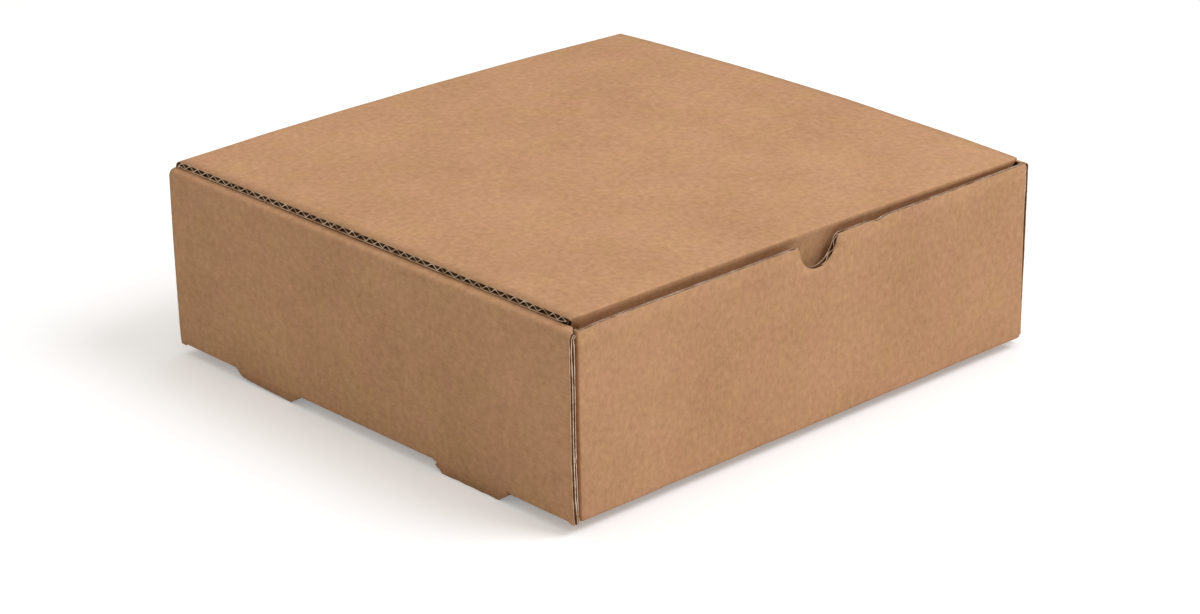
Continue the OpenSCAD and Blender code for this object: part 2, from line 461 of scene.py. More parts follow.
def fold_main(p, w):
    """Flat main strip (a along X, b along the strip) to its folded place."""
    a, b = p[:, 0], p[:, 1]
    point, normal = main.at(b)
    w = crush(w, b, main.bends())
    w = BOARD_T - (BOARD_T - w) * (1 - PINCH * np.exp(-np.clip(b, 0, None) / PINCH_REACH))
    square = square_bend(b, main_lid_end, main_flap, CREASE_SQUARENESS)
    square += square_bend(b, main_front_foot, main_base, FOOT_SQUARENESS)
    square += square_bend(b, main_base_end, main_back_foot, FOOT_SQUARENESS)
    w = w + square * w / BOARD_T + uneven(p) * np.clip(w, 0, 1)
    xyz = np.stack([a, point[:, 0] + normal[:, 0] * w, point[:, 1] + normal[:, 1] * w], 1)
    beyond = np.clip(np.abs(a) - ear_start, 0, None)
    turn_ears(xyz, a, b, w, beyond)
    place = xyz.T.copy()
    settle_tray(xyz, a, b, beyond, place)
    settle_lid(xyz, b, place)
    return xyz


def square_bend(s, start, end, power, radius=BEND_R + BOARD_T):
    """How far the outer liner stands out of a round bend, to make a sharper edge."""
    turn = np.clip((s - start) / (end - start), 0, 1) * math.pi / 2
    return radius * ((np.cos(turn) ** power + np.sin(turn) ** power) ** (-1 / power) - 1)


def fold_side(sign):
    """Flat side strip (a along its own path, b along the main strip) to its folded place."""
    def fold(p, w):
        a, b = p[:, 0], p[:, 1]
        point, normal = side.at(a)
        y = b - base_b(0)
        # Tongues and wall ends run straight down past the bend, where the base is cut away beside them
        tongue = np.abs(np.abs(y) - TONGUE_Y) < TONGUE_HALF + KERF / 2
        tongue |= np.abs(y) > panel_in - BEND_R + KERF / 2
        tongue &= a < side_wall
        straight, straight_normal = side.at(np.full(len(a), side_wall + SAME_LINE))
        down = (side_wall - a)[:, None] * np.array([0, 1])
        point = np.where(tongue[:, None], straight - down, point)
        normal = np.where(tongue[:, None], straight_normal, normal)
        square = square_bend(a, side_foot, side_wall, FOOT_SQUARENESS)
        square += square_bend(a, side_roll, side_flat, ROLL_SQUARENESS, ROLL_R)
        w = np.where(tongue, w, crush(w, a, side.bends()) + square * w / BOARD_T)
        w = w + uneven(p + SIDE_SHIFT * sign) * np.clip((a - side_wall) / UNEVEN_FADE, 0, 1)
        x, z = point[:, 0] + normal[:, 0] * w, point[:, 1] + normal[:, 1] * w
        outer = 1 - ease((a - side_roll) / (side_turn - side_roll))
        front = frontness(y)
        height = np.clip(z / (wall_top - ROLL_R), 0, 1)
        if sign > 0:
            x = x + outer * front * RIGHT_PUSH_FOOT * (1 - np.clip(z / panel_h, 0, 1))
            recess = RIGHT_RECESS_FOOT + (RIGHT_RECESS_TOP - RIGHT_RECESS_FOOT) * height
            y = y + outer * recess * np.clip((RECESS_REACH - half_d - y) / RECESS_REACH, 0, 1)
        else:
            lean_now = WALL_LEAN * np.clip((z - BOARD_T) / (wall_top - ROLL_R - BOARD_T), 0, 1)
            lean_seen = (WALL_LEAN + (LEFT_LEAN_FRONT - WALL_LEAN) * front) * height ** LEAN_BEND
            x = x + outer * (lean_seen - lean_now)
            nick = np.exp(-(((z - NICK_HEIGHT) / NICK_REACH) ** 2))
            nick = nick * np.clip((NICK_FADE - half_d - y) / NICK_FADE, 0, 1)
            y = y + outer * NICK_DEPTH * nick * np.sin(NICK_WAVE * w)
        return np.stack([sign * x, y, z], 1)
    return fold


def arc(cx, cy, r, start, end, steps=10):
    """Points on an arc, angles in degrees."""
    angles = np.radians(np.linspace(start, end, steps + 1))
    return [(cx + r * math.cos(t), cy + r * math.sin(t)) for t in angles]


def refine(outline, a_lines, b_lines):
    """An outline with points where it crosses the given lines, and no long edges."""
    points = []
    for p, q in zip(outline, outline[1:] + outline[:1]):
        p, q = np.array(p, float), np.array(q, float)
        length = np.linalg.norm(q - p)
        cuts = [0.0]
        for axis, lines in ((0, a_lines), (1, b_lines)):
            span = q[axis] - p[axis]
            if abs(span) > SAME_LINE:
                cuts += [t for t in ((v - p[axis]) / span for v in lines) if 0 < t < 1]
        cuts += list(np.arange(1, math.ceil(length / EDGE_STEP)) * EDGE_STEP / length)
        last = -1.0
        for t in sorted(cuts):
            if (t - last) * length > CLOSEST_CUTS and (1 - t) * length > CLOSEST_END:
                points.append(p + t * (q - p))
                last = t
    return np.array(points)


def inside(points, outline):
    """Which points lie inside a closed outline."""
    x, y = points[:, 0][:, None], points[:, 1][:, None]
    x0, y0 = outline[:, 0], outline[:, 1]
    x1, y1 = np.roll(x0, -1), np.roll(y0, -1)
    crosses = (y0 > y) != (y1 > y)
    slope = np.where(y1 == y0, 1, y1 - y0)
    return (crosses & (x < (x1 - x0) * (y - y0) / slope + x0)).sum(1) % 2 == 1


def far_from(points, outline, gap):
    """Which points keep at least a gap from every point of an outline."""
    keep = np.ones(len(points), bool)
    for p in outline:
        keep &= np.abs(points - p).max(1) > gap
    return keep


def region(outline, a_lines, b_lines):
    """Points and triangles of a flat region, with its edge points first."""
    low, high = np.min(outline, 0), np.max(outline, 0)

    def spread(lines, start, end):
        kept = [v for v in lines if start < v < end]
        for v in np.arange(start + LINER_STEP, end - LINER_STEP / 2, LINER_STEP):
            if all(abs(v - k) > LINER_STEP / 3 for k in lines):
                kept.append(v)
        return sorted(kept)

    edge = refine(outline, a_lines, b_lines)
    grid = [(a, b) for a in spread(a_lines, low[0], high[0]) for b in spread(b_lines, low[1], high[1])]
    points = edge
    if grid:
        grid = np.array(grid)
        grid = grid[inside(grid, edge)]
        points = np.concatenate([edge, grid[far_from(grid, edge, EDGE_CLEARANCE)]])
    links = [(i, (i + 1) % len(edge)) for i in range(len(edge))]
    for axis, lines in ((0, a_lines), (1, b_lines)):
        for v in lines:
            row = np.flatnonzero(np.abs(points[:, axis] - v) < SAME_LINE)
            row = row[np.argsort(points[row, 1 - axis])]
            pairs = [(i, j) for i, j in zip(row, row[1:]) if max(i, j) >= len(edge) or abs(i - j) > 1]
            if pairs:
                within = inside(np.array([(points[i] + points[j]) / 2 for i, j in pairs]), edge)
                links += [(int(i), int(j)) for (i, j), ok in zip(pairs, within) if ok]
    found = delaunay_2d_cdt([Vector(p) for p in points], links, [], 0, MERGE)
    flat = np.array([tuple(v) for v in found[0]])
    faces = np.array([f for f in found[2] if len(f) == 3])
    return flat, faces[inside(flat[faces].mean(1), edge)]


class Shells:
    """Closed shells gathered into one mesh object."""

    def __init__(self, name):
        self.name = name
        self.xyz = []
        self.flat = []
        self.faces = []
        self.kinds = []
        self.smooth = []
        self.count = 0

    def add(self, xyz, flat, faces, kinds, smooth):
        """Adds one closed shell, turned so that its faces look out."""
        volume = 0.0
        for f in faces:
            p = xyz[f[0]]
            for i in range(1, len(f) - 1):
                volume += np.dot(p, np.cross(xyz[f[i]], xyz[f[i + 1]]))
        turn = -1 if volume < 0 else 1
        self.faces += [tuple(self.count + v for v in f[::turn]) for f in faces]
        self.xyz.append(xyz)
        self.flat.append(flat)
        self.kinds += kinds
        self.smooth += smooth
        self.count += len(xyz)

    def sheet(self, flat, triangles, fold, low, high, kinds, ragged):
        """A liner between two depths of the board, with the materials of its upper, lower and cut faces."""
        n = len(flat)
        # A dict keeps the sides in the order of the triangles
        sides = {}
        for t in triangles:
            for i, j in ((t[0], t[1]), (t[1], t[2]), (t[2], t[0])):
                sides[(i, j)] = True
        rim = [(i, j) for i, j in sides if (j, i) not in sides]
        layers = (high * CUT_LAYERS, high * CUT_LAYERS + CUT_SECOND)
        cut = np.array([[noise((a * CUT_SCALE, b * CUT_SCALE, v)) for v in layers] for a, b in flat])
        moved = flat.copy()
        rim_points = sorted({i for e in rim for i in e})
        moved[rim_points] += CUT_WOBBLE * cut[rim_points] * ragged(flat[rim_points])[:, None]
        xyz = np.concatenate([fold(moved, np.full(n, low)), fold(moved, np.full(n, high))])
        faces = [tuple(t + n) for t in triangles]
        faces += [tuple(t[::-1]) for t in triangles]
        faces += [(i, j, j + n, i + n) for i, j in rim]
        upper, lower, edge = kinds
        kinds = [upper] * len(triangles) + [lower] * len(triangles) + [edge] * len(rim)
        smooth = [True] * (2 * len(triangles)) + [False] * len(rim)
        self.add(xyz, np.concatenate([flat, flat]), faces, kinds, smooth)

    def wave(self, b, edges, fold, trough=None):
        """A strip of the wavy medium, between the given values of a at each b.

        It meets the inner liner at the trough, where one is given.
        """
        a = np.asarray(edges, float)
        rows, columns = a.shape
        flat = np.stack([a.ravel(), np.repeat(b, columns)], 1)
        swing = BOARD_T / 2 - LINER_T - MEDIUM_T / 2 - MEDIUM_GAP
        turn = 2 * math.pi / FLUTE_PITCH
        if trough is None:
            drift = MOUTH_WANDER * np.array([noise((v * MOUTH_SCALE, *MOUTH_LAYER)) for v in flat[:, 1]])
            w = BOARD_T / 2 + swing * np.cos(turn * (flat[:, 1] + drift))
        else:
            layer = (trough * EDGE_LAYERS, EDGE_LAYER)
            drift = EDGE_WANDER * np.array([noise((v * EDGE_SCALE, *layer)) for v in flat[:, 0]])
            w = BOARD_T / 2 - swing * np.cos(turn * (flat[:, 1] - trough + drift))
        n = len(flat)
        xyz = np.concatenate([fold(flat, w - MEDIUM_T / 2), fold(flat, w + MEDIUM_T / 2)])
        faces = []
        for i in range(rows - 1):
            for j in range(columns - 1):
                k = i * columns + j
                quad = (k, k + 1, k + columns + 1, k + columns)
                faces += [tuple(v + n for v in quad), quad[::-1]]
        rim = [(j, j + 1) for j in range(columns - 1)]
        rim += [((i + 1) * columns - 1, (i + 2) * columns - 1) for i in range(rows - 1)]
        rim += [((rows - 1) * columns + j + 1, (rows - 1) * columns + j) for j in range(columns - 1)]
        rim += [((i + 1) * columns, i * columns) for i in range(rows - 1)]
        # The medium's faces take the paper darkened as painted shade, and its cut edges take the pale cut
        # paper with a painted highlight
        kinds = [PAINTED_SHADE_INSIDE] * len(faces) + [PALE_CUT_AND_HIGHLIGHT] * len(rim)
        smooth = [True] * len(faces) + [False] * len(rim)
        faces += [(i, j, j + n, i + n) for i, j in rim]
        self.add(xyz, np.concatenate([flat, flat]), faces, kinds, smooth)

    def board(self, outline, fold, a_lines, b_lines, ragged):
        """Both liners of a piece of board. ragged says how uneven its cut edges are at each point."""
        flat, triangles = region(outline, a_lines, b_lines)
        # Liner faces toward the inside of the board take the paper darkened as painted shade; the inner
        # liner's cut takes the pale cut paper with a painted highlight
        self.sheet(flat, triangles, fold, BOARD_T - LINER_T, BOARD_T, (FACE, PAINTED_SHADE_INSIDE, OUTER_CUT), ragged)
        self.sheet(flat, triangles, fold, 0.0, LINER_T, (PAINTED_SHADE_INSIDE, FACE, PALE_CUT_AND_HIGHLIGHT), ragged)

    def build(self, materials):
        """One mesh object of all the shells, with the flat sheet as its UV map."""
        mesh = bpy.data.meshes.new(self.name)
        xyz = np.concatenate(self.xyz)
        xyz[:, 2] += TONGUE_DROP
        mesh.from_pydata((xyz * MM).tolist(), [], self.faces)
        for material in materials:
            mesh.materials.append(material)
        mesh.polygons.foreach_set("material_index", self.kinds)
        mesh.polygons.foreach_set("use_smooth", self.smooth)
        corners = np.zeros(len(mesh.loops), np.int32)
        mesh.loops.foreach_get("vertex_index", corners)
        layer = mesh.uv_layers.new(name="blank")
        layer.data.foreach_set("uv", (np.concatenate(self.flat)[corners] * MM).astype(np.float32).ravel())
        mesh.update()
        piece = bpy.data.objects.new(self.name, mesh)
        bpy.context.scene.collection.objects.link(piece)
        return piece


def wave_rows(low, high):
    """Rows of b close enough together to follow the flutes."""
    count = max(2, int(math.ceil((high - low) / FLUTE_PITCH * WAVE_SAMPLES)))
    return np.linspace(low, high, count + 1)


def mouths(shells, fold, low, high, edge, inward, depth=MOUTH_DEPTH, steps=2):
    """Medium behind a raw edge that cuts across the flutes. edge(b) gives the edge's a."""
    rows = wave_rows(low, high)
    shells.wave(rows, [[edge(b) + inward * depth * k / steps for k in range(steps + 1)] for b in rows], fold)


def lengthwise(shells, fold, edge, inward, a_values):
    """Medium behind a raw edge that runs along the flutes. Its trough lies just outside the edge."""
    rows = edge + inward * wave_rows(MOUTH_INSET, MOUTH_DEPTH)
    shells.wave(rows, [list(a_values) for _ in rows], fold, edge - inward * EDGE_PHASE)


def straight(a):
    """A raw edge that keeps the same a at every b."""
    def edge(b):
        return a
    return edge


def notch_outline():
    """Points of the thumb notch from its left lip to its right one, at the front panel's top edge."""
    lip_x = math.sqrt((NOTCH_R + NOTCH_LIP_R) ** 2 - NOTCH_LIP_R ** 2)
    tangent = math.degrees(math.atan2(NOTCH_LIP_R, lip_x))
    left = arc(-lip_x, NOTCH_LIP_R, NOTCH_LIP_R, -90, -tangent, 5)[:-1]
    bowl = arc(0, 0, NOTCH_R, 180 - tangent, tangent, 28)
    right = [(-a, b) for a, b in reversed(left)]
    return [(a + NOTCH_SHIFT, b) for a, b in left + bowl + right]


def notch_half_width(b):
    """Half the width of the notch at a distance below the top edge."""
    return math.sqrt(max(NOTCH_R ** 2 - b ** 2, 0.0))


def tray_main(shells):
    """Front panel, base and back panel with their ears, in one strip."""
    ear_top = panel_h - (wall_top - BOARD_T - EAR_GAP)
    ear_low = panel_h - (BOARD_T + EAR_GAP)
    root = ear_start + ear_root
    tip = root + EAR_LEN - BEND_R
    back_low = main_back_foot + BOARD_T + EAR_GAP - (BOARD_T + BEND_R)
    back_top = back_low + (ear_low - ear_top)
    slot_in = lining_in - LAYER_GAP
    right = [
        (root, 0), (root, ear_top), (tip - EAR_CHAMFER, ear_top), (tip, ear_top + EAR_CHAMFER),
        (tip, ear_low - EAR_CHAMFER), (tip - EAR_CHAMFER, ear_low), (root, ear_low), (root, main_front_foot),
        (ear_out, main_base), (side_edge, main_base),
    ]
    for centre in (-TONGUE_Y, TONGUE_Y):
        start, end = base_b(centre - TONGUE_HALF), base_b(centre + TONGUE_HALF)
        right += [(side_edge, start), (slot_in, start), (slot_in, end), (side_edge, end)]
    right += [
        (side_edge, main_base_end), (ear_out, main_base_end), (root, main_back_foot), (root, back_low),
        (tip - EAR_CHAMFER, back_low), (tip, back_low + EAR_CHAMFER),
        (tip, back_top - EAR_CHAMFER), (tip - EAR_CHAMFER, back_top), (root, back_top), (root, main_hinge),
    ]
    outline = notch_outline() + right + [(-a, b) for a, b in reversed(right)]
    a_lines = [s * v for s in (-1, 1) for v in [ear_start + t for t in bend_lines(ear)]]
    b_lines = bend_lines(main, high=main_hinge)

    def ragged(p):
        return np.clip((ear_start + RAGGED_EAR - np.abs(p[:, 0])) / RAGGED_FADE, 0, 1)

    shells.board(outline, fold_main, a_lines, b_lines, ragged)
    ends = [ear_start + share * ear_root for share in BEND_SHARES]
    lip = NOTCH_R + 2 * NOTCH_LIP_R
    for s in (-1, 1):
        top = list(np.linspace(lip + s * NOTCH_SHIFT, ear_start, LONG_EDGE_POINTS)[:-1]) + ends
        lengthwise(shells, fold_main, 0, 1, [s * v for v in top])

        def notch_rim(b):
            return NOTCH_SHIFT + s * (notch_half_width(b) + MOUTH_INSET)

        notch_low = NOTCH_R - NOTCH_MOUTH_FOOT
        notch_deep = lip - NOTCH_R - 2 * MOUTH_INSET
        mouths(shells, fold_main, NOTCH_MOUTH_TOP, notch_low, notch_rim, s, notch_deep)
        ear_end = straight(s * (tip - MOUTH_INSET))
        mouths(shells, fold_main, ear_top + EAR_CHAMFER, ear_low - EAR_CHAMFER, ear_end, -s)


# Tongue outlines from front to back: distance from the tongue's middle, and share of the drop
FRONT_TONGUE = (
    (-23.0, 0.05), (-17.2, 0.97), (-16.2, 1.0), (-11.0, 0.95), (-6.0, 1.0), (-1.0, 0.94), (3.0, 0.99),
    (8.0, 0.93), (13.0, 0.99), (16.4, 1.0), (18.3, 0.99), (19.8, 0.68), (21.0, 0.58), (22.6, 0.38),
    (21.7, 0.06), (23.0, -0.1),
)
REAR_TONGUE = (
    (-23.0, -0.2), (-21.4, 0.03), (-15.6, 0.86), (-14.4, 0.9), (0.0, 0.82), (16.0, 0.68), (18.6, 0.6),
    (20.0, 0.5), (22.9, -0.1), (23.0, -0.2),
)
TONGUES = ((-TONGUE_Y, FRONT_TONGUE), (TONGUE_Y, REAR_TONGUE))


def tongue_a(drop):
    """Place along the side strip of a tongue's cut edge, at a share of its drop below the base."""
    return side_knee - TONGUE_REACH * drop


def side_outline():
    """Outline of a side strip, with its tongues cut out of the base."""
    front, back = base_b(-half_d), base_b(half_d)
    inner_front, inner_back = base_b(lining_front), base_b(lining_back)
    behind_panel = base_b(LAYER_GAP - panel_in)
    points = [(side_low, front), (side_low, main_base - KERF)]
    points += [(side_wall, main_base - KERF / 2), (0.0, main_base)]
    for centre, shape in TONGUES:
        start, end = base_b(centre - TONGUE_HALF), base_b(centre + TONGUE_HALF)
        points += [(0.0, start - KERF), (side_wall, start - KERF / 2)]
        points += [(tongue_a(drop), base_b(centre) + along) for along, drop in shape]
        points += [(side_wall, end + KERF / 2), (0.0, end + KERF)]
    points += [(0.0, main_base_end), (side_wall, main_base_end + KERF / 2)]
    points += [(side_low, main_base_end + KERF), (side_low, back)]
    points += [(side_step, back), (side_step, inner_back), (side_end, inner_back)]
    tab_half = TONGUE_HALF - TAB_GAP
    for centre in (TONGUE_Y, -TONGUE_Y):
        middle = base_b(centre)
        points += [(side_end, middle + tab_half), (side_tab, middle + tab_half - TAB_SLANT)]
        points += [(side_tab, middle - tab_half + TAB_SLANT), (side_end, middle - tab_half)]
    points += [(side_end, inner_front), (side_step, inner_front), (side_step, behind_panel)]
    points += [(side_stop, front)]
    return points


def tray_side(shells, sign):
    """Side wall with its roll, lining, locking tabs and tongues."""
    fold = fold_side(sign)

    def ragged(p):
        return np.clip((p[:, 0] - side_wall) / RAGGED_FADE, 0, 1)

    shells.board(side_outline(), fold, bend_lines(side), [main_base, main_base_end], ragged)
    front, back = base_b(-half_d), base_b(half_d)
    wall = [side_low] + list(np.linspace(side_wall + 8, side_roll - 4, 6)) + [side_roll]
    front_roll = bend_lines(side, side_roll, side_stop)[1:]
    back_roll = bend_lines(side, side_roll, side_flat)[1:-1] + [side_step]
    lining = bend_lines(side, side_turn, side_lining) + [side_lining + 30, side_end]
    lengthwise(shells, fold, front, 1, wall + front_roll)
    lengthwise(shells, fold, back, -1, wall + back_roll)
    lengthwise(shells, fold, base_b(lining_front), 1, lining)
    lengthwise(shells, fold, base_b(lining_back), -1, lining)
    for centre, shape in TONGUES:
        along, drop = zip(*[p for p in shape if p[1] > TONGUE_MOUTH_DROP])
        start, end = (base_b(centre + v) for v in TONGUE_MOUTH)

        def tongue_end(b):
            return tongue_a(np.interp(b - base_b(centre), along, drop)) + TONGUE_INSET

        mouths(shells, fold, start, end, tongue_end, 1, SHORT_DEPTH, 1)
    tab_end = straight(side_tab - MOUTH_INSET)
    for centre in (-TONGUE_Y, TONGUE_Y):
        start, end = base_b(centre - TAB_MOUTH), base_b(centre + TAB_MOUTH)
        mouths(shells, fold, start, end, tab_end, -1, SHORT_DEPTH, 1)


def hinge_crease(shells):
    """The crease that joins the back panel and the lid, as wide as the lid."""
    half = lid_high.x
    outline = [(-half, main_hinge), (half, main_hinge), (half, main_lid), (-half, main_lid)]

    def ragged(p):
        return np.zeros(len(p))

    shells.board(outline, fold_main, [], bend_lines(main, main_hinge, main_lid), ragged)
    for s in (-1, 1):
        mouths(shells, fold_main, main_hinge, main_lid, straight(s * (half - MOUTH_INSET)), -s)


def lid_board(shells):
    """Lid and tuck flap, from the hinge crease to the flap's lower edge."""
    half = lid_high.x
    crease_mid = (main_lid_end + main_flap) / 2
    wide = ear_out - LAYER_GAP
    narrow = ear_in - FLAP_SIDE_GAP
    shoulder = main_flap + BOARD_T - BEND_R
    step = shoulder + LID_GAP + EAR_GAP - LAYER_GAP
    foot = narrow - FLAP_SLANT - FLAP_CORNER_R
    straight_end = main_end - FLAP_CORNER_R
    right = [(half, main_lid), (half, crease_mid), (wide, crease_mid + 0.6), (wide, shoulder), (narrow, step)]
    right += arc(foot, straight_end, FLAP_CORNER_R, 0, 90, 8)
    outline = right + [(-a, b) for a, b in reversed(right)]

    def ragged(p):
        return np.clip((p[:, 1] - main_lid) / RAGGED_LID, 0, 1)

    shells.board(outline, fold_main, [], bend_lines(main, main_lid, main_end), ragged)
    for s in (-1, 1):
        mouths(shells, fold_main, main_lid, crease_mid, straight(s * (half - MOUTH_INSET)), -s)

        def flap_side(b):
            slant = FLAP_SLANT * (b - shoulder) / (straight_end - shoulder)
            return s * (narrow - FLAP_INSET - slant)

        mouths(shells, fold_main, shoulder + FLAP_MOUTH, straight_end, flap_side, -s)
    lengthwise(shells, fold_main, main_end, -1, np.linspace(-foot, foot, LONG_EDGE_POINTS))


def new_material(name):
    """A material with its nodes, its links and one plain shader."""
    material = bpy.data.materials.new(name)
    material.use_nodes = True
    nodes, links = material.node_tree.nodes, material.node_tree.links
    nodes.clear()
    output = nodes.new("ShaderNodeOutputMaterial")
    shader = nodes.new("ShaderNodeBsdfPrincipled")
    links.new(shader.outputs["BSDF"], output.inputs["Surface"])
    return material, nodes, links, shader


def add_noise(nodes, links, vector, scale, detail, roughness=0.5):
    """Noise between 0 and 1, about 0.5 on average, with about scale grains to each unit of the vector."""
    texture = nodes.new("ShaderNodeTexNoise")
    texture.inputs["Scale"].default_value = scale
    texture.inputs["Detail"].default_value = detail
    texture.inputs["Roughness"].default_value = roughness
    links.new(vector, texture.inputs["Vector"])
    return texture.outputs["Fac"]


def add_stretch(nodes, links, vector, scale):
    """A vector scaled by three factors."""
    mapping = nodes.new("ShaderNodeMapping")
    mapping.inputs["Scale"].default_value = scale
    links.new(vector, mapping.inputs["Vector"])
    return mapping.outputs["Vector"]


def add_blend(nodes, links, weighted):
    """Sum of sockets, each times its weight."""
    total = None
    for socket, weight in weighted:
        node = nodes.new("ShaderNodeMath")
        node.operation = "MULTIPLY_ADD"
        links.new(socket, node.inputs[0])
        node.inputs[1].default_value = weight
        if total is None:
            node.inputs[2].default_value = 0
        else:
            links.new(total, node.inputs[2])
        total = node.outputs["Value"]
    return total


def add_ramp(nodes, links, socket, low, high, dark, light):
    """Colour that goes from dark to light as a value goes from low to high."""
    ramp = nodes.new("ShaderNodeValToRGB")
    for element, position, colour in zip(ramp.color_ramp.elements, (low, high), (dark, light)):
        element.position = position
        element.color = (*colour, 1)
    links.new(socket, ramp.inputs["Fac"])
    return ramp.outputs["Color"]


def kraft(name, dark, light, pink, yellow):
    """Kraft liner: fine mottling, short fibres, a faint washboard of the flutes, soft changes of hue."""
    material, nodes, links, shader = new_material(name)
    shader.inputs["Roughness"].default_value = 0.85
    shader.inputs["Specular IOR Level"].default_value = 0.2
    place = nodes.new("ShaderNodeTexCoord")
    solid, blank = place.outputs["Object"], place.outputs["UV"]
    cloud = add_noise(nodes, links, solid, scale=24, detail=2)
    mottle = add_noise(nodes, links, solid, scale=330, detail=4, roughness=0.6)
    long_grain = add_stretch(nodes, links, blank, (900, 260, 1))
    fibre = add_noise(nodes, links, long_grain, scale=1, detail=4, roughness=0.6)
    short_grain = add_stretch(nodes, links, blank, (1500, 1300, 1))
    crumb = add_noise(nodes, links, short_grain, scale=1, detail=3, roughness=0.6)
    hue = add_noise(nodes, links, solid, scale=55, detail=3)
    tone = add_blend(nodes, links, ((cloud, 0.22), (mottle, 0.40), (fibre, 0.23), (crumb, 0.15)))
    paper_colour = add_ramp(nodes, links, tone, 0.36, 0.64, dark, light)
    hue_colour = add_ramp(nodes, links, hue, 0.35, 0.65, pink, yellow)
    tint = nodes.new("ShaderNodeMix")
    tint.data_type = "RGBA"
    tint.blend_type = "MULTIPLY"
    tint.inputs["Factor"].default_value = 1.0
    first, second = (next(i for i in tint.inputs if i.name == n and i.type == "RGBA") for n in "AB")
    links.new(paper_colour, first)
    links.new(hue_colour, second)
    links.new(next(o for o in tint.outputs if o.type == "RGBA"), shader.inputs["Base Color"])
    washboard = nodes.new("ShaderNodeTexWave")
    washboard.bands_direction = "Y"
    washboard.inputs["Scale"].default_value = math.pi / (10 * FLUTE_PITCH * MM)
    washboard.inputs["Distortion"].default_value = 0.6
    washboard.inputs["Detail"].default_value = 1.0
    links.new(blank, washboard.inputs["Vector"])
    height = add_blend(nodes, links, ((washboard.outputs["Fac"], 0.12), (fibre, 0.35), (mottle, 0.5)))
    bump = nodes.new("ShaderNodeBump")
    bump.inputs["Strength"].default_value = 0.3
    bump.inputs["Distance"].default_value = 0.00025
    links.new(height, bump.inputs["Height"])
    links.new(bump.outputs["Normal"], shader.inputs["Normal"])
    return material


def plain_paper(name, dark, light):
    """Cut paper, partly lightened as a painted highlight, or paper inside the board darkened as painted
    shade: a soft grain and patches between two tones.
    """
    material, nodes, links, shader = new_material(name)
    shader.inputs["Roughness"].default_value = 0.9
    shader.inputs["Specular IOR Level"].default_value = 0.15
    place = nodes.new("ShaderNodeTexCoord")
    grain = add_noise(nodes, links, place.outputs["Object"], scale=700, detail=4)
    patch = add_noise(nodes, links, place.outputs["Object"], scale=160, detail=2)
    tone = add_blend(nodes, links, ((grain, 0.4), (patch, 0.6)))
    links.new(add_ramp(nodes, links, tone, 0.38, 0.62, dark, light), shader.inputs["Base Color"])
    return material


def linear(red, green, blue):
    """Linear colour of an 8-bit display colour."""
    return tuple(((c / 255 + 0.055) / 1.055) ** 2.4 for c in (red, green, blue))


def camera_ray(nodes):
    """1 for camera rays, which see the plain background."""
    return nodes.new("ShaderNodeLightPath").outputs["Is Camera Ray"]


# Linear colours of the kraft paper, and the two casts that change its hue
KRAFT_DARK = (0.440, 0.237, 0.122)
KRAFT_LIGHT = (0.630, 0.361, 0.199)
KRAFT_PINK = (1.0, 0.965, 1.0)
KRAFT_YELLOW = (0.985, 1.0, 0.93)

# Light from all round, and the floor: its colour, its glow for the camera, and how far it reaches in metres
WORLD_LEVEL = 0.46
WORLD_TINT = (1.0, 0.975, 0.87)
FLOOR_COLOUR = (0.86, 0.86, 0.86)
FLOOR_LIFT = 0.28
FLOOR_REACH = 6.0

# Lamps: their tint and the point they face, then each one's name, place and size in metres, and watts
LAMP_TINT = (1.0, 1.0, 1.07)
LAMP_AIM = (0, 0, 0.05)
LAMPS = (
    ("key", (0.7, -1.2, 1.9), 1.2, 27.5),
    ("top", (-0.2, 0.3, 2.2), 1.6, 9.5),
)


def set_world():
    """Soft light from all round, behind a white background that only the camera sees."""
    world = bpy.data.worlds.new("studio")
    bpy.context.scene.world = world
    world.use_nodes = True
    nodes, links = world.node_tree.nodes, world.node_tree.links
    nodes.clear()
    output = nodes.new("ShaderNodeOutputWorld")
    lit = nodes.new("ShaderNodeBackground")
    lit.inputs["Strength"].default_value = WORLD_LEVEL
    seen = nodes.new("ShaderNodeBackground")
    seen.inputs["Strength"].default_value = 1.0
    lit.inputs["Color"].default_value = (*WORLD_TINT, 1)
    seen.inputs["Color"].default_value = (1, 1, 1, 1)
    mix = nodes.new("ShaderNodeMixShader")
    links.new(camera_ray(nodes), mix.inputs["Fac"])
    links.new(lit.outputs["Background"], mix.inputs[1])
    links.new(seen.outputs["Background"], mix.inputs[2])
    links.new(mix.outputs["Shader"], output.inputs["Surface"])


def add_floor():
    """White floor that keeps the shadow of the box."""
    material, nodes, links, shader = new_material("floor_white")
    output = next(n for n in nodes if n.type == "OUTPUT_MATERIAL")
    nodes.remove(shader)
    matte = nodes.new("ShaderNodeBsdfDiffuse")
    matte.inputs["Color"].default_value = (*FLOOR_COLOUR, 1)
    glow = nodes.new("ShaderNodeEmission")
    glow.inputs["Color"].default_value = (1, 1, 1, 1)
    lift = nodes.new("ShaderNodeMath")
    lift.operation = "MULTIPLY"
    lift.inputs[1].default_value = FLOOR_LIFT
    links.new(camera_ray(nodes), lift.inputs[0])
    links.new(lift.outputs["Value"], glow.inputs["Strength"])
    both = nodes.new("ShaderNodeAddShader")
    links.new(matte.outputs["BSDF"], both.inputs[0])
    links.new(glow.outputs["Emission"], both.inputs[1])
    links.new(both.outputs["Shader"], output.inputs["Surface"])
    mesh = bpy.data.meshes.new("floor")
    corners = [(FLOOR_REACH * x, FLOOR_REACH * y, 0) for x, y in ((-1, -1), (1, -1), (1, 1), (-1, 1))]
    mesh.from_pydata(corners, [], [(0, 1, 2, 3)])
    mesh.materials.append(material)
    floor = bpy.data.objects.new("floor", mesh)
    bpy.context.scene.collection.objects.link(floor)


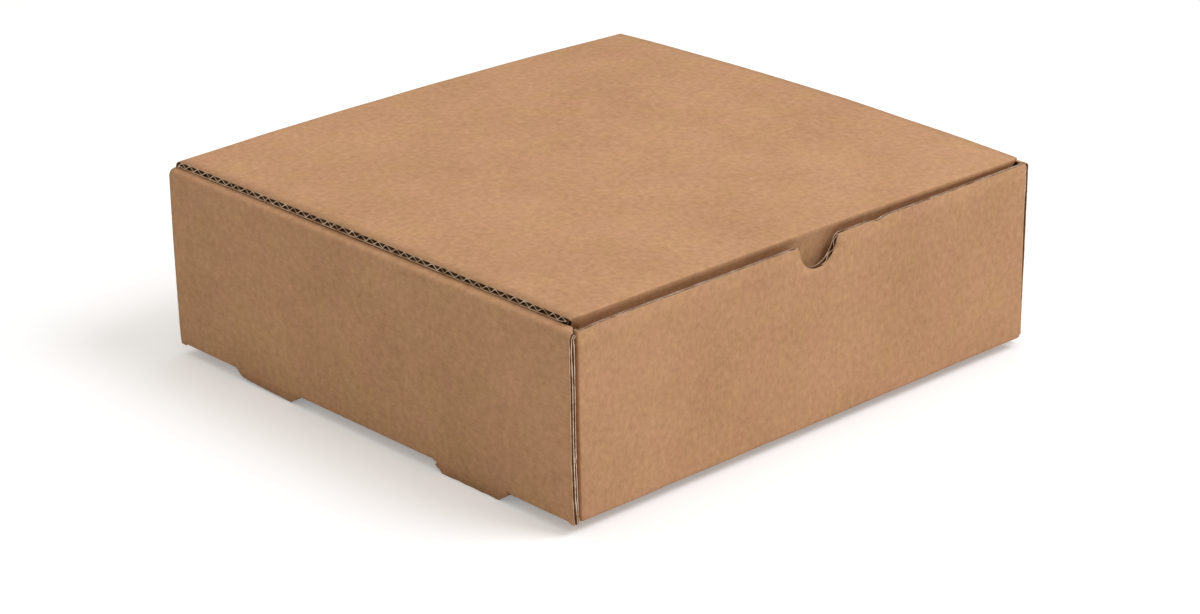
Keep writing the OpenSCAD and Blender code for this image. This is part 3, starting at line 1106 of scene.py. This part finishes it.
def add_lamps():
    """Square lamps that face the middle of the box."""
    aim = Vector(LAMP_AIM)
    for name, place, size, power in LAMPS:
        light = bpy.data.lights.new(name, "AREA")
        light.shape = "SQUARE"
        light.size = size
        light.energy = power
        light.color = LAMP_TINT
        lamp = bpy.data.objects.new(name, light)
        bpy.context.scene.collection.objects.link(lamp)
        lamp.location = place
        lamp.rotation_mode = "QUATERNION"
        lamp.rotation_quaternion = (aim - lamp.location).to_track_quat("-Z", "Y")


# The photograph's view: direction, roll and lens, and the box's place before the camera in metres
VIEW_AZIMUTH = -43.63
VIEW_ELEVATION = 22.35
VIEW_ROLL = -0.15
VIEW_PIXELS = 3241.0
PHOTO_WIDTH = 1200.0
VIEW_OFFSET = (0.000722, -0.015479, -1.471905)


def add_camera():
    """Camera at the photograph's view."""
    az, el, roll = (math.radians(v) for v in (VIEW_AZIMUTH, VIEW_ELEVATION, VIEW_ROLL))
    back = np.array([math.sin(az) * math.cos(el), -math.cos(az) * math.cos(el), math.sin(el)])
    right = np.array([math.cos(az), math.sin(az), 0.0])
    up = np.cross(back, right)
    turned_right = math.cos(roll) * right + math.sin(roll) * up
    turned_up = -math.sin(roll) * right + math.cos(roll) * up
    axes = np.array([turned_right, turned_up, back])
    place = -axes.T @ np.array(VIEW_OFFSET) + np.array([0, 0, TONGUE_DROP * MM])
    data = bpy.data.cameras.new("photo_view")
    data.sensor_width = 36.0
    data.lens = VIEW_PIXELS / PHOTO_WIDTH * data.sensor_width
    data.clip_start = 0.05
    data.clip_end = 50.0
    camera = bpy.data.objects.new("photo_view", data)
    bpy.context.scene.collection.objects.link(camera)
    matrix = Matrix.Identity(4)
    for row in range(3):
        for column in range(3):
            matrix[row][column] = axes[column][row]
        matrix[row][3] = place[row]
    camera.matrix_world = matrix
    bpy.context.scene.camera = camera


add_camera()
face = kraft("kraft_liner", KRAFT_DARK, KRAFT_LIGHT, KRAFT_PINK, KRAFT_YELLOW)
# Cut edges of the inner liner and the medium: partly the paler cut paper, partly a painted highlight of edges
# lit from above
pale_cut_and_highlight = plain_paper("cut_inner_liner", linear(186, 148, 116), linear(244, 220, 196))
# Paper inside the board and the medium: dark tones that are painted shade in the flute cells
painted_shade_inside = plain_paper("paper_inside", linear(96, 69, 46), linear(122, 90, 62))
outer_cut = plain_paper("cut_outer_liner", linear(176, 136, 104), linear(226, 190, 158))
paper = (face, pale_cut_and_highlight, painted_shade_inside, outer_cut)

tray_shells = Shells("tray_board")
tray_main(tray_shells)
tray_side(tray_shells, 1)
tray_side(tray_shells, -1)
tray_piece = tray_shells.build(paper)
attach(tray_piece, "tray")
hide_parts("tray")

lid_shells = Shells("lid_board")
lid_board(lid_shells)
lid_piece = lid_shells.build(paper)
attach(lid_piece, "lid")
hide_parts("lid")

crease_shells = Shells("hinge_crease")
hinge_crease(crease_shells)
crease_piece = crease_shells.build(paper)
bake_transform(crease_piece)

set_world()
add_floor()
add_lamps()
bpy.context.scene.view_settings.view_transform = "Standard"
